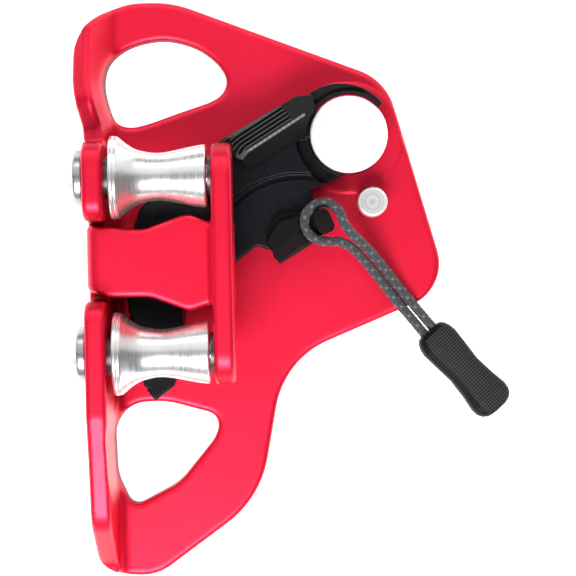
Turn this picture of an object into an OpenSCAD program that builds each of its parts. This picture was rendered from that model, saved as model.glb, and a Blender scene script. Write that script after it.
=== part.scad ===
// Ventral rope clamp: a folded plate frame, a sprung toothed cam with thumb lever and
// safety catch, two hourglass guide rollers on screws, and a pull cord with a grip.
// Lying on its back: Z = 0 is the back of the plate, the rope runs along Y over X = 0,
// midway between the two rollers. Millimetres.

/* [Frame] */
// Sheet thickness
sheet = 5; // [4.4:0.1:5.2]
// Outside face of the left wall, distance from the rope line
wall_x = 17.9; // [17.6:0.1:18.2]
// Outside radius of the fold between plate and wall
fold_r = 8; // [7:0.5:9]
// Height of the two wall ears
ear_z = 33; // [32:0.5:34]
// Right face of the forward flange
flange_x = 17.6; // [17.4:0.1:17.7]
// Half height of the rounded flange
flange_r = 8; // [7.5:0.1:8.2]

/* [Rollers] */
// Height of both roller axes over the back of the plate
axle_z = 24.3; // [24.1:0.1:24.6]
// Distance of each roller axis from the middle
axle_y = 21.15; // [20.9:0.05:21.4]
// Radius of the tall rim, beside the wall
rim_r = 10; // [9.4:0.1:10.1]
// Radius of the low rim, beside the flange
low_rim_r = 7.6; // [7:0.1:8]
// Radius at the waist
waist_r = 5.75; // [5.4:0.05:6.5]
// Radius of the axle shank
axle_r = 3; // [2.6:0.1:3.2]
// Radius of the axle screw's head
screw_head_r = 6.85; // [6.2:0.05:7]

/* [Cam] */
// Thickness of the cam
cam_t = 9; // [8:0.1:9]
// Radius of the pivot rivet's shank
pivot_r = 4; // [3.6:0.1:4.2]
// Radius of the pivot rivet's head
pivot_head_r = 9.45; // [9:0.05:9.6]
// Radius of the stop pin
stop_r = 3.7; // [3.4:0.1:3.9]
// Number of teeth on the gripping face
teeth = 9; // [6:1:11]
// Running clearance on turning fits
run = 0.05; // [0.02:0.01:0.09]

/* [Cord] */
// Diameter of the pull cord
cord_d = 2.4; // [2:0.1:2.5]
// Half thickness of the grip
grip_h = 4.6; // [4:0.1:5]

/* [Hidden] */
red = [0.85, 0.04, 0.12];
steel = [0.75, 0.76, 0.78];
bright = [0.86, 0.87, 0.88];
black = [0.08, 0.08, 0.09];
grey = [0.32, 0.33, 0.36];

pivot = [46.1, 31];
stop = [51.8, 14.7];
catch_at = [30, 7.5];
post = [39.4, 9.8];
inner_x = wall_x - sheet;
fold_in = fold_r - sheet;
flange_in = flange_x - sheet;
roller_half = 11.5;
cam_z = sheet + 0.9;
cam_top = cam_z + cam_t;
bush_r = pivot_r + run + 1.2;
boss_r = 9.4;
slot_w = 2.2;
slot_a = 14;
spring_r = 7.4;

// Plate outline: x, y and corner radius, clockwise from the top left.
plate_pts = [[-22.1, 66, 17.5], [2.9, 66, 28], [56.1, 45.4, 14], [70.8, -7.1, 11],
             [29.2, -24.1, 22], [22.6, -58.7, 26], [-3.5, -77.4, 12], [-20.5, -77, 12],
             [-20.4, 36, 8], [-22.1, 44, 8]];
upper_eye = [[-14.3, 55.9, 11], [6.8, 56, 14], [18, 46.4, 3.8], [13, 41.2, 5],
             [-5.5, 34.6, 6], [-13.9, 34.7, 4.5]];
lower_eye = [[-12.3, -33.6, 6], [12.6, -35.6, 3.4], [12.4, -41.4, 4], [-1.5, -57.6, 5],
             [-9.8, -60.2, 4], [-12.3, -51, 8]];
// Side view of the left wall: y, z and corner radius.
side_pts = [[-80, -1, 0], [-80, 7, 0], [-73, 8, 4], [-62.5, 25.5, 9], [-46, 29.5, 12], [-36, ear_z, 6],
            [-8.4, ear_z, 5], [-8.4, 17.9, 0.8], [10.6, 17.9, 0.8], [10.6, ear_z, 5], [29.4, ear_z, 5],
            [30.4, 14, 1.5], [40, 16, 6], [60, 13, 4], [60, -1, 0]];
// Front view of the bridge between wall and flange.
bridge_pts = [[-17.9, 9.9, 0], [-4, 8.6, 8], [6.6, 12.4, 5], [12.4, 10, 3], [17.6, 10, 0], [17.6, -9.6, 0],
              [12, -9.6, 3], [6.6, -11.3, 4], [-2.6, -7.7, 6], [-12.6, -7.6, 5], [-17.9, -5.9, 0]];
cam_pts = [[22.5, 29.6, 4], [8, 24, 8], [-5.2, 14.6, 6], [-10.4, 0, 14], [-8.6, -14, 30],
           [-5.5, -30, 1.2], [-2.7, -33.3, 0.6], [1.9, -29.8, 1.5], [4.8, -20, 8], [4.6, -8, 8], [15, -1.6, 8],
           [23, 4.4, 2], [28.5, 2.4, 2], [34, 6.4, 3], [38.5, 15.5, 4]];
// Cord route: from the grip up one strand, round the post, and down the other strand.
cord_route = [[67, -17.5, 5.9], [64, -13.9, 6.3], [60.3, -9.4, 6.9], [56.6, -4.7, 8.2], [53, 0, 10.6],
              [49.4, 3.9, 13.8], [46.2, 6.9, 16.8], [44.4, 9.4, 18.5], [43.3, 12.1, 19], [40.6, 14.3, 19],
              [37.2, 13.8, 19], [35, 11.2, 19], [35.1, 8, 19], [37.2, 5.7, 19], [40.2, 4.9, 18.7],
              [43.3, 4.8, 17.3], [46.6, 3.1, 14.4], [50.3, -0.8, 11], [53.8, -5.2, 8.5], [57.2, -9.7, 7],
              [61, -14.3, 6.3], [65, -19.3, 5.9]];
// Grip stations: distance along the axis, half width, half height.
grip_at = [65.4, -17.6, 5.6];
grip_a = -49;
grip_st = [[0, 3.2, 3], [0.6, 3.9, 3.7], [4, 5.1, grip_h], [8, 4.8, 4.4], [13, 4.4, 4.2], [18, 4.8, 4.4],
           [22.5, 5.6, grip_h], [25.4, 4.9, 4], [26, 3.9, 3.2]];

// Corner arc of a rounded outline, between its neighbours.
function unit2(v) = v / norm(v);
function corner(a, b, c) =
    let(u = unit2([a[0] - b[0], a[1] - b[1]]), w = unit2([c[0] - b[0], c[1] - b[1]]),
        half = acos(max(-1, min(1, u * w))) / 2, mid = unit2(u + w), r = b[2],
        at = [b[0], b[1]] + mid * r / sin(half), sweep = 90 - half,
        s = u[0] * w[1] - u[1] * w[0] > 0 ? -1 : 1, n = max(2, ceil(sweep / 5)),
        base = atan2(-mid[1], -mid[0]))
    [for (i = [-n : n]) at + r * [cos(base + s * sweep * i / n), sin(base + s * sweep * i / n)]];
function rounded(p) =
    let(n = len(p))
    [for (i = [0 : n - 1], q = p[i][2] < 0.01 ? [[p[i][0], p[i][1]]]
        : corner(p[(i + n - 1) % n], p[i], p[(i + 1) % n])) q];
function arc(c, r, a0, a1, n = 9) =
    [for (i = [0 : n]) c + r * [cos(a0 + (a1 - a0) * i / n), sin(a0 + (a1 - a0) * i / n)]];

module outline(p, z0, z1) {
    translate([0, 0, z0]) linear_extrude(z1 - z0) polygon(rounded(p));
}

// Extrusions of an XZ section along Y, and of a YZ section along X.
module along_y(p, y0, y1) {
    translate([0, y1, 0]) rotate([90, 0, 0]) linear_extrude(y1 - y0) polygon(p);
}
module along_x(p, x0, x1) {
    translate([x0, 0, 0]) rotate([90, 0, 90]) linear_extrude(x1 - x0) polygon(p);
}
module ring_x(r1, r0, x0, x1) {
    translate([x0, 0, 0]) rotate([0, 90, 0]) difference() {
        cylinder(r = r1, h = x1 - x0, $fn = 64);
        translate([0, 0, -1]) cylinder(r = r0, h = x1 - x0 + 2, $fn = 64);
    }
}
module ring_z(r1, r0, z0, z1) {
    translate([0, 0, z0]) difference() {
        cylinder(r = r1, h = z1 - z0, $fn = 64);
        translate([0, 0, -1]) cylinder(r = r0, h = z1 - z0 + 2, $fn = 64);
    }
}

// Plate and wall section with the fold turned through the given angle.
function folded(a, len) =
    let(c = [fold_r - wall_x, fold_r], t = 270 - a, d = [-cos(a), sin(a)],
        o = c + fold_r * [cos(t), sin(t)], i = c + fold_in * [cos(t), sin(t)])
    concat([[75, 0]], arc(c, fold_r, 270, t), [o + d * len, i + d * len],
           arc(c, fold_in, t, 270), [[75, sheet]]);

// Wall, bridge and forward flange section.
bridge_top = 24.5;
module bridge() {
    o = [-wall_x + 3.5, bridge_top - 3.5];
    i = [-inner_x + 1.5, bridge_top - sheet - 1.5];
    intersection() {
        outline(bridge_pts, 4, 40);
        along_y(concat([[-wall_x, 17]], arc(o, 3.5, 180, 90), [[14, bridge_top]], [[14, bridge_top - sheet]],
                       arc(i, 1.5, 90, 180), [[-inner_x, 17]]),
                -15, 15);
    }
}
module flange() {
    w = axle_y - 0.15;
    along_x(concat(arc([w, axle_z], flange_r, 90, -90, 24), arc([-w, axle_z], flange_r, -90, -270, 24)),
            flange_in, flange_x);
}
module axle_holes(r, x0, x1) {
    for (s = [-1, 1]) translate([x0, s * axle_y, axle_z]) rotate([0, 90, 0])
        cylinder(r = r, h = x1 - x0, $fn = 64);
}

module frame() color(red) difference() {
    union() {
        intersection() {
            outline(plate_pts, -1, 40);
            along_y(folded(90, 40), -80, 31.5);
            along_x(rounded(side_pts), -30, 80);
        }
        intersection() {
            outline(plate_pts, -1, 40);
            along_y(folded(62, 11), 30.4, 68);
        }
        bridge();
        flange();
    }
    outline(upper_eye, -1, 30);
    outline(lower_eye, -1, 12);
    axle_holes(axle_r + 0.1, -30, 0);
    axle_holes(axle_r, 0, 30);
    translate([pivot[0], pivot[1], -1]) cylinder(r = pivot_r, h = sheet + 2, $fn = 64);
    translate([pivot[0], pivot[1], -1]) cylinder(r = pivot_r + 1.6, h = 2.2, $fn = 64);
    translate([stop[0], stop[1], -1]) cylinder(r = 2.5, h = sheet + 2, $fn = 48);
}

module pivot_rivet() color(bright) translate([pivot[0], pivot[1], 0]) {
    cylinder(r = pivot_r + 1.55, h = 1.15, $fn = 64);
    cylinder(r = pivot_r, h = cam_top + 0.2, $fn = 64);
    translate([0, 0, cam_top + 0.2]) cylinder(r = pivot_head_r, h = 2, $fn = 96);
    translate([0, 0, cam_top + 2.2]) cylinder(r1 = pivot_head_r, r2 = pivot_head_r - 0.8, h = 0.6, $fn = 96);
}

module pivot_washer() color(steel) translate([pivot[0], pivot[1], 0])
    ring_z(5.9, pivot_r + run, sheet + 0.02, sheet + 0.82);

module stop_pin() color(steel) translate([stop[0], stop[1], 0]) {
    translate([0, 0, 0.05]) cylinder(r = 2.5, h = sheet, $fn = 48);
    translate([0, 0, sheet + 0.02]) cylinder(r = stop_r, h = 6, $fn = 64);
    translate([0, 0, sheet + 6.02]) cylinder(r1 = stop_r, r2 = stop_r - 0.5, h = 0.5, $fn = 64);
}

// One tooth notch, cut across the gripping face.
module notches() {
    for (i = [0 : teeth - 1]) let(y = -28.4 + 27 * i / teeth, x = -5.9 - (y + 28.4) * 0.17)
        translate([x, y, 0]) linear_extrude(40) polygon([[-2, -0.9], [1, -0.6], [-0.6, 1.4], [-2, 1.4]]);
}
module cam() color(black) difference() {
    translate([0, 0, cam_z]) linear_extrude(cam_t)
        polygon(concat(arc(pivot, boss_r, -95, 118, 36), rounded(cam_pts)));
    notches();
    translate([pivot[0], pivot[1], -1]) cylinder(r = bush_r, h = 40, $fn = 64);
    translate([pivot[0], pivot[1], 0]) ring_z(spring_r + 1.15, bush_r + 0.9, 1, cam_z + 5.4);
    translate([33.3, -1.9, 0]) intersection() {
        ring_z(23.8, 22.2, cam_top - 1.2, cam_top + 1);
        translate([-40, 4.3, 0]) cube([80, 40, 40]);
    }
    translate([catch_at[0], catch_at[1], 0]) cylinder(r = 1.5, h = 40, $fn = 48);
}

module cam_bush() color([0.72, 0.55, 0.25]) translate([pivot[0], pivot[1], 0])
    ring_z(bush_r - 0.02, pivot_r + run, cam_z, cam_top - 0.05);

module cam_spring() color(grey) translate([pivot[0], pivot[1], 0]) {
    for (i = [0 : 2]) translate([0, 0, cam_z + 0.9 + 1.6 * i])
        rotate_extrude($fn = 64) translate([spring_r, 0]) circle(r = 0.75, $fn = 24);
}

// Thumb lever: a foot on the cam, a sloping ribbed rest and a strap round the rivet.
module thumb_lever() color(black) difference() {
    intersection() {
        union() {
            outline([[17, 30, 1], [21, 24.6, 2], [22.2, 21.6, 1], [27, 26.6, 2], [31.2, 27.4, 2],
                     [35.6, 30.2, 1], [37.6, 39, 3], [33, 40.8, 3]], cam_top, cam_top + 1.5);
            translate([19.3, 25.8, cam_top]) rotate([0, 0, 32.5]) rotate([90, 0, 90])
                translate([0, 0, -3]) linear_extrude(23) polygon(concat([[0.2, 0.1], [5.9, 0.1], [5.9, 1.2]],
                    [for (i = [4 : -1 : 0], q = [[0.55, 0.5], [0.75, 1], [0.35, 1.1], [0.1, 0.65]])
                        [1 + i + q[0] * 0.7, 5.2 - i * 0.95 + q[1] * 0.5]], [[0.3, 6], [0.1, 5.6]]));
        }
        translate([pivot[0], pivot[1], 0]) cylinder(r = 28.1, h = 40, $fn = 96);
    }
    translate([pivot[0], pivot[1], 0]) cylinder(r = 10.2, h = 40, $fn = 96);
}
module thumb_strap() color(black) translate([pivot[0], pivot[1], cam_top]) difference() {
    translate([-2, -0.6, 0.1]) cylinder(r = 13.1, h = 1.8, $fn = 96);
    translate([0, 0, -1]) cylinder(r = 9.9, h = 5, $fn = 96);
    rotate([0, 0, 41]) translate([-20, -40, -1]) cube([60, 40, 5]);
    rotate([0, 0, 148]) translate([-20, 0, -1]) cube([60, 40, 5]);
}

module catch_pin() color(steel) translate([catch_at[0], catch_at[1], 0])
    translate([0, 0, cam_z + 0.3]) cylinder(r = 1.48, h = 12.4, $fn = 48);

module catch_spring() color(grey) translate([catch_at[0], catch_at[1], 0]) {
    for (i = [0 : 1]) translate([0, 0, cam_top + 0.6 + 0.75 * i])
        rotate_extrude($fn = 48) translate([2.3, 0]) circle(r = 0.32, $fn = 16);
}

// Safety catch: a bar over the cam, turning on its pin, with a post for the cord.
module safety_catch() color(black) difference() {
    union() {
        difference() {
            union() {
                outline([[25.6, 6.5, 1.5], [27.6, 0.4, 1], [30.4, 1.6, 1], [40.6, 7.4, 3], [42.6, 11, 3],
                         [38.6, 13.2, 3], [33.4, 12.4, 3], [27.4, 11.4, 3]], cam_top + 0.2, cam_top + 2.6);
                outline([[25.8, 6, 1], [27.8, 0.6, 0.5], [36.6, 6, 0.6], [33.6, 11, 1], [28, 9.6, 1]],
                        cam_top + 1, cam_top + 6.6);
            }
            translate([post[0], post[1], cam_top + 2.5]) cylinder(r = 6.05, h = 6, $fn = 64);
        }
        translate([post[0], post[1], cam_top + 1.5]) cylinder(r = 2.75, h = 4.9, $fn = 48);
        translate([post[0], post[1], cam_top + 6.4]) cylinder(r1 = 2.75, r2 = 3.1, h = 0.5, $fn = 48);
    }
    translate([catch_at[0], catch_at[1], 5]) cylinder(r = 1.48 + run, h = cam_top - 1, $fn = 48);
    translate([catch_at[0], catch_at[1], 3]) cylinder(r = 2.75, h = cam_top - 1.1, $fn = 48);
}

// Roller: tall rim, deep waist, low rim, turned about X.
function waist(x) = x < -1.5 ? waist_r + (rim_r - 1 - waist_r) * pow((-1.5 - x) / 8, 2)
    : waist_r + (low_rim_r - waist_r) * pow((x + 1.5) / 12.4, 1.5);
module roller(y) color(bright) translate([0, y, axle_z]) rotate([0, 90, 0]) rotate_extrude($fn = 96)
    polygon(concat([[4.2, -roller_half], [rim_r - 0.4, -roller_half], [rim_r, -roller_half + 0.4],
                    [rim_r, -roller_half + 1.3], [rim_r - 0.35, -roller_half + 1.6]],
                   [for (i = [0 : 20]) let(x = -9.5 + 20.4 * i / 20) [waist(x), x]],
                   [[low_rim_r - 0.4, roller_half], [4.2, roller_half]]));
module bush(y) color([0.72, 0.55, 0.25]) translate([0, y, axle_z])
    ring_x(4.18, axle_r + run, -roller_half + 0.1, roller_half - 0.1);
module axle(y) color(steel) translate([0, y, axle_z]) rotate([0, 90, 0]) difference() {
    union() {
        translate([0, 0, -wall_x - 0.1]) cylinder(r = axle_r - 0.02, h = wall_x + flange_x - 0.1, $fn = 64);
        rotate_extrude($fn = 96) polygon([[0, -wall_x - 4.2], [0.9, -wall_x - 4.15],
            [screw_head_r - 0.5, -wall_x - 2.3], [screw_head_r, -wall_x - 1.9], [screw_head_r, -wall_x - 0.05],
            [0, -wall_x - 0.05]]);
    }
    rotate([0, 0, slot_a]) translate([-20, -slot_w / 2, -wall_x - 6]) cube([40, slot_w, 3.6]);
}
module washer(y, left) color(steel) translate([0, y, axle_z])
    if (left) ring_x(4.9, axle_r + run, -inner_x + 0.05, -roller_half - 0.3);
    else ring_x(4.9, axle_r + run, roller_half + 0.3, flange_in - 0.05);

// Closed skin over a row of equal rings of points.
module skin(rings) {
    n = len(rings[0]);
    m = len(rings);
    polyhedron([for (r = rings, q = r) q],
        concat([[for (i = [0 : n - 1]) i]],
               [for (j = [0 : m - 2], i = [0 : n - 1]) let(k = (i + 1) % n)
                   each [[j * n + k, j * n + i, j * n + n + i], [j * n + k, j * n + n + i, j * n + n + k]]],
               [[for (i = [n - 1 : -1 : 0]) (m - 1) * n + i]]));
}
// Smooth curve through the route, four steps to a stretch.
function at(p, i) = p[max(0, min(len(p) - 1, i))];
function curve(p) =
    [for (i = [0 : len(p) - 2], s = [0 : 0.25 : 0.99]) let(a = at(p, i - 1), b = p[i], c = p[i + 1], d = at(p, i + 2))
        ((2 * b) + (c - a) * s + (2 * a - 5 * b + 4 * c - d) * s * s + (3 * b - a - 3 * c + d) * s * s * s) / 2];
function round_at(p, t, r, n) =
    let(u = unit2(cross(t, [0, 0, 1])), w = cross(u, t) / norm(t))
    [for (i = [0 : n - 1]) p + r * (cos(360 * i / n) * u + sin(360 * i / n) * w)];
module pull_cord() color(grey) {
    c = concat(curve(cord_route), [cord_route[len(cord_route) - 1]]);
    skin([for (i = [0 : len(c) - 1]) round_at(c[i], at(c, i + 1) - at(c, i - 1), cord_d / 2, 8)]);
}

// Grip: a waisted handle of rounded section.
function soft(w, h, n) =
    [for (i = [0 : n - 1]) let(c = cos(360 * i / n), s = sin(360 * i / n))
        [w * sign(c) * pow(abs(c), 0.6), h * sign(s) * pow(abs(s), 0.6)]];
module cord_grip() color(black) translate(grip_at) rotate([0, 0, grip_a])
    skin([for (s = grip_st) [for (q = soft(s[1], s[2], 24)) [s[0], q[0], q[1]]]]);

frame();
pivot_rivet();
pivot_washer();
stop_pin();
cam();
cam_bush();
cam_spring();
union() {
    thumb_lever();
    thumb_strap();
}
catch_pin();
catch_spring();
safety_catch();
roller(axle_y);  // upper_roller
roller(-axle_y);  // lower_roller
bush(axle_y);  // upper_bush
bush(-axle_y);  // lower_bush
axle(axle_y);  // upper_axle
axle(-axle_y);  // lower_axle
washer(axle_y, true);  // upper_washer_left
washer(axle_y, false);  // upper_washer_right
washer(-axle_y, true);  // lower_washer_left
washer(-axle_y, false);  // lower_washer_right
pull_cord();
cord_grip();
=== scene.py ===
"""Ventral rope clamp: folded red plate, toothed cam, guide rollers, pull cord with a grip.

Shapes are worked out in millimetres, and MM turns them into metres where a mesh is made.
"""
import math

import bpy
import numpy as np
import openvdb
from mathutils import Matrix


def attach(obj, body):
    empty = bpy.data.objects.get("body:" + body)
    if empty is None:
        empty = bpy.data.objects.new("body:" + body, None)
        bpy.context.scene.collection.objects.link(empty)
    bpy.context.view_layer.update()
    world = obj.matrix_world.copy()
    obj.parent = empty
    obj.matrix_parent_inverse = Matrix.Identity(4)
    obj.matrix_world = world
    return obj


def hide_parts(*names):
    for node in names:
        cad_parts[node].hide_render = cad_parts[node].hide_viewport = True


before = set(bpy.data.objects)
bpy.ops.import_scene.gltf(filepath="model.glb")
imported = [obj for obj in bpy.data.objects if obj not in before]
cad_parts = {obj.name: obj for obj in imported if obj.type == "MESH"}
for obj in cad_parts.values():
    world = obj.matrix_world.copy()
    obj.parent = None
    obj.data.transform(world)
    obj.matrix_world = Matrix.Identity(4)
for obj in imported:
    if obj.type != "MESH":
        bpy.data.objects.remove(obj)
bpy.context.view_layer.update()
scene = bpy.context.scene
MM = 0.001

# ---------------------------------------------------------------- camera and light
CAMERA_AT, CAMERA_ROLL = (30.48, -6.17, 485.0), -1.2
LENS, SENSOR, CLIP_START = 120.0, 36.0, 0.01
# Lamps: name, place and size in metres, watts. They all face LAMP_AIM.
LAMP_AIM = (0.02, 0.0, 0.0)
LAMPS = [("key", (-0.04, -0.4, 0.52), (0.4, 0.26), 5.8), ("top", (0.02, 0.5, 0.36), (0.7, 0.06), 1.0)]
# The studio's brightness in each direction: a base and steps (axis, from, to, brightness) that add up. They
# are a glow overhead, a wide soft box towards +Y that ends above the horizon, and a fainter one towards -Y.
STUDIO_BASE = 0.03
STUDIO = [("z", 0.86, 0.97, 0.1), ("z", 0.2, 0.9, 0.04), ("y", 0.1, 0.26, 0.9), ("y", 0.75, 0.92, -0.75),
          ("y", -0.1, -0.3, 0.1)]
# A faint box right of the zenith, which fades out towards +Y: one step for each axis, multiplied.
RIGHT_BOX, RIGHT_BOX_FADE, RIGHT_BOX_RISE = (-0.03, 0.06, 0.05), (0.12, 0.3, -1.0), (0.6, 0.85, 1.0)


def add_camera():
    data = bpy.data.cameras.new("camera")
    data.lens = LENS
    data.sensor_width = SENSOR
    data.clip_start = CLIP_START
    camera = bpy.data.objects.new("camera", data)
    camera.location = [c * MM for c in CAMERA_AT]
    camera.rotation_euler = (0, 0, math.radians(CAMERA_ROLL))
    scene.collection.objects.link(camera)
    scene.camera = camera


def add_lamp(name, at, size, watts):
    data = bpy.data.lights.new(name, "AREA")
    data.shape = "RECTANGLE"
    data.size, data.size_y = size
    data.energy = watts
    lamp = bpy.data.objects.new(name, data)
    lamp.location = at
    x, y, z = np.array(LAMP_AIM) - np.array(at)
    lamp.rotation_euler = (math.atan2(math.hypot(x, y), -z), 0, math.atan2(y, x) - math.pi / 2)
    scene.collection.objects.link(lamp)


def studio_world():
    """World light that depends on the direction only."""
    world = bpy.data.worlds.new("studio")
    world.use_nodes = True
    tree = world.node_tree
    coord = tree.nodes.new("ShaderNodeTexCoord")
    split = tree.nodes.new("ShaderNodeSeparateXYZ")
    tree.links.new(coord.outputs["Generated"], split.inputs[0])

    def math_node(operation, a, b):
        node = tree.nodes.new("ShaderNodeMath")
        node.operation = operation
        for socket, value in zip(node.inputs, (a, b)):
            if isinstance(value, float):
                socket.default_value = value
            else:
                tree.links.new(value, socket)
        return node.outputs[0]

    def step(axis, low, high, amount):
        node = tree.nodes.new("ShaderNodeMapRange")
        node.interpolation_type = "SMOOTHSTEP"
        node.inputs["From Min"].default_value = min(low, high)
        node.inputs["From Max"].default_value = max(low, high)
        node.inputs["To Min"].default_value = 0.0 if low < high else amount
        node.inputs["To Max"].default_value = amount if low < high else 0.0
        tree.links.new(split.outputs[axis.upper()], node.inputs["Value"])
        return node.outputs["Result"]

    total = STUDIO_BASE
    for row in STUDIO:
        total = math_node("ADD", step(*row), total)
    fade = math_node("ADD", step("y", *RIGHT_BOX_FADE), 1.0)
    box = math_node("MULTIPLY", fade, step("x", *RIGHT_BOX))
    total = math_node("ADD", total, math_node("MULTIPLY", box, step("z", *RIGHT_BOX_RISE)))
    tree.nodes["Background"].inputs["Color"].default_value = (1, 1, 1, 1)
    tree.links.new(total, tree.nodes["Background"].inputs["Strength"])
    scene.world = world


add_camera()
for lamp in LAMPS:
    add_lamp(*lamp)
studio_world()
scene.view_settings.view_transform = "Standard"


# ---------------------------------------------------------------- materials
def material(name, colour, metallic=0.0, roughness=0.5, coat=0.0, ior=1.45, specular=0.5):
    mat = bpy.data.materials.new(name)
    mat.use_nodes = True
    shader = mat.node_tree.nodes["Principled BSDF"]
    shader.inputs["Base Color"].default_value = (*colour, 1)
    shader.inputs["Metallic"].default_value = metallic
    shader.inputs["Roughness"].default_value = roughness
    shader.inputs["Coat Weight"].default_value = coat
    shader.inputs["IOR"].default_value = ior
    shader.inputs["Specular IOR Level"].default_value = specular
    return mat, mat.node_tree, shader


def add_noise(tree, scale, detail=3.0, stretch=(1, 1, 1), rough=0.55):
    coord = tree.nodes.new("ShaderNodeTexCoord")
    mapping = tree.nodes.new("ShaderNodeMapping")
    mapping.inputs["Scale"].default_value = stretch
    noise = tree.nodes.new("ShaderNodeTexNoise")
    noise.inputs["Scale"].default_value = scale
    noise.inputs["Detail"].default_value = detail
    noise.inputs["Roughness"].default_value = rough
    tree.links.new(coord.outputs["Object"], mapping.inputs["Vector"])
    tree.links.new(mapping.outputs["Vector"], noise.inputs["Vector"])
    return noise.outputs["Fac"]


def ramp(tree, source, stops):
    node = tree.nodes.new("ShaderNodeValToRGB")
    elements = node.color_ramp.elements
    while len(elements) < len(stops):
        elements.new(0.5)
    for element, (at, colour) in zip(elements, stops):
        element.position = at
        element.color = (*colour, 1) if len(colour) == 3 else colour
    tree.links.new(source, node.inputs["Fac"])
    return node.outputs["Color"]


def bump(tree, shader, source, strength, distance):
    node = tree.nodes.new("ShaderNodeBump")
    node.inputs["Strength"].default_value = strength
    node.inputs["Distance"].default_value = distance
    tree.links.new(source, node.inputs["Height"])
    tree.links.new(node.outputs["Normal"], shader.inputs["Normal"])
    return node


def grey3(v):
    return (v, v, v)


def tone_and_painted_light(tree, shader, colour, painted_light_or_tone):
    """Blend the colour towards a second one, and dim the shine, where the mesh's per-point attribute says
    so: painted shade, painted highlights and the pin's dark rings.
    """
    attribute = tree.nodes.new("ShaderNodeAttribute")
    attribute.attribute_name = "tone_and_painted_light"
    mix = tree.nodes.new("ShaderNodeMix")
    mix.data_type = "RGBA"
    mix.inputs["B"].default_value = (*painted_light_or_tone, 1)
    tree.links.new(attribute.outputs["Fac"], mix.inputs["Factor"])
    tree.links.new(colour, mix.inputs["A"])
    tree.links.new(mix.outputs["Result"], shader.inputs["Base Color"])
    for name in ("Specular IOR Level", "Coat Weight"):
        fade = tree.nodes.new("ShaderNodeMath")
        fade.operation = "MULTIPLY_ADD"
        fade.inputs[1].default_value = -shader.inputs[name].default_value
        fade.inputs[2].default_value = shader.inputs[name].default_value
        tree.links.new(attribute.outputs["Fac"], fade.inputs[0])
        tree.links.new(fade.outputs[0], shader.inputs[name])


def red_anodised():
    """Satin red with a fine grain, painted almost black-red as shade on the sheet's upright cut edges."""
    mat, tree, shader = material("red_anodised", (0.8, 0.01, 0.05), metallic=0.62, roughness=0.4,
                                  coat=0.3, ior=1.5, specular=0.35)
    shader.inputs["Coat Roughness"].default_value = 0.35
    tone = ramp(tree, add_noise(tree, 70, 4), [(0.3, (0.82, 0.003, 0.036)), (0.7, (0.88, 0.006, 0.048))])
    # Painted shade: near-black red on the sheet's upright cut edges, where the mesh's values ask for it.
    tone_and_painted_light(tree, shader, tone, (0.22, 0.0, 0.008))
    grain = add_noise(tree, 4200, 2)
    rough = ramp(tree, grain, [(0.35, grey3(0.34)), (0.65, grey3(0.48))])
    tree.links.new(rough, shader.inputs["Roughness"])
    bump(tree, shader, grain, 0.35, 0.00004)
    return mat


def turned(name, colour, roughness, scale, stretch, strength=0.2, dark_marks_and_shade=(0.08, 0.08, 0.08), metallic=1.0):
    """Machined metal: fine tool lines along the stretched axes, a faint mottle, and a darker tone where a
    piece's values ask for it, as for the pin's dark rings and the rivet head's painted shade.
    """
    mat, tree, shader = material(name, colour, metallic, roughness)
    mottle = ramp(tree, add_noise(tree, 260, 3), [(0.3, tuple(c * 0.93 for c in colour)), (0.7, colour)])
    tone_and_painted_light(tree, shader, mottle, dark_marks_and_shade)
    lines = add_noise(tree, scale, 2, stretch)
    rough = ramp(tree, lines, [(0.3, grey3(roughness * 0.85)), (0.7, grey3(roughness * 1.2))])
    tree.links.new(rough, shader.inputs["Roughness"])
    bump(tree, shader, lines, strength, 0.00002)
    return mat


def black_part(name, colour, specular, roughness, grain_scale, depth, painted_light_or_tone=(0.3, 0.3, 0.3)):
    """Blackened steel or black plastic with a fine grain."""
    mat, tree, shader = material(name, colour, 0.0, roughness, specular=specular)
    grain = add_noise(tree, grain_scale, 3)
    dark, pale = (tuple(c * k for c in colour) for k in (0.75, 1.3))
    tone = ramp(tree, grain, [(0.3, dark), (0.7, pale)])
    tone_and_painted_light(tree, shader, tone, painted_light_or_tone)
    rough = ramp(tree, grain, [(0.3, grey3(roughness * 0.85)), (0.7, grey3(min(1, roughness * 1.2)))])
    tree.links.new(rough, shader.inputs["Roughness"])
    bump(tree, shader, grain, 0.3, depth)
    return mat


RED = red_anodised()
ROLLER = turned("roller_alloy", (0.82, 0.82, 0.82), 0.3, 2600, (1, 0.02, 0.02), 0.12, metallic=0.9)
POLISHED = turned("rivet_steel", (0.95, 0.95, 0.955), 0.35, 900, (1, 1, 0.02), 0.04, metallic=0.4)
STEEL = turned("steel", (0.86, 0.86, 0.87), 0.36, 1800, (1, 1, 1), 0.5, metallic=0.5)
SCREW = turned("screw_steel", (0.42, 0.42, 0.43), 0.3, 1500, (0.3, 1, 1), 0.15, metallic=0.9)
# Near-black steel for the roller washers: painted shade for the dark gaps beside the rollers.
WASHER_GAP_SHADE = turned("washer_gap_shade", (0.1, 0.1, 0.105), 0.4, 1800, (1, 1, 1))
SPRING = turned("spring_steel", (0.42, 0.42, 0.44), 0.35, 2000, (1, 1, 1))
BRONZE = turned("bronze", (0.7, 0.5, 0.24), 0.35, 2000, (1, 1, 1))
CAM_BLACK = black_part("cam_steel", (0.006, 0.006, 0.0085), 0.16, 0.36, 1400, 0.00003)
# The catch's second colour is a painted sheen, slightly paler, on the bar's front face.
CATCH_BLACK = black_part("catch_steel", (0.003, 0.003, 0.003), 0.16, 0.4, 1500, 0.00003,
                         (0.014, 0.011, 0.011))
# The thumb lever's default pale grey second colour is its painted highlight.
PLASTIC = black_part("black_plastic", (0.008, 0.008, 0.0085), 0.16, 0.5, 1800, 0.00006)
# The grip's paler second colour is a painted highlight on its bump tops.
RUBBER = black_part("grip_rubber", (0.004, 0.004, 0.005), 0.15, 0.5, 3000, 0.00003,
                    (0.055, 0.055, 0.06))


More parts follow.
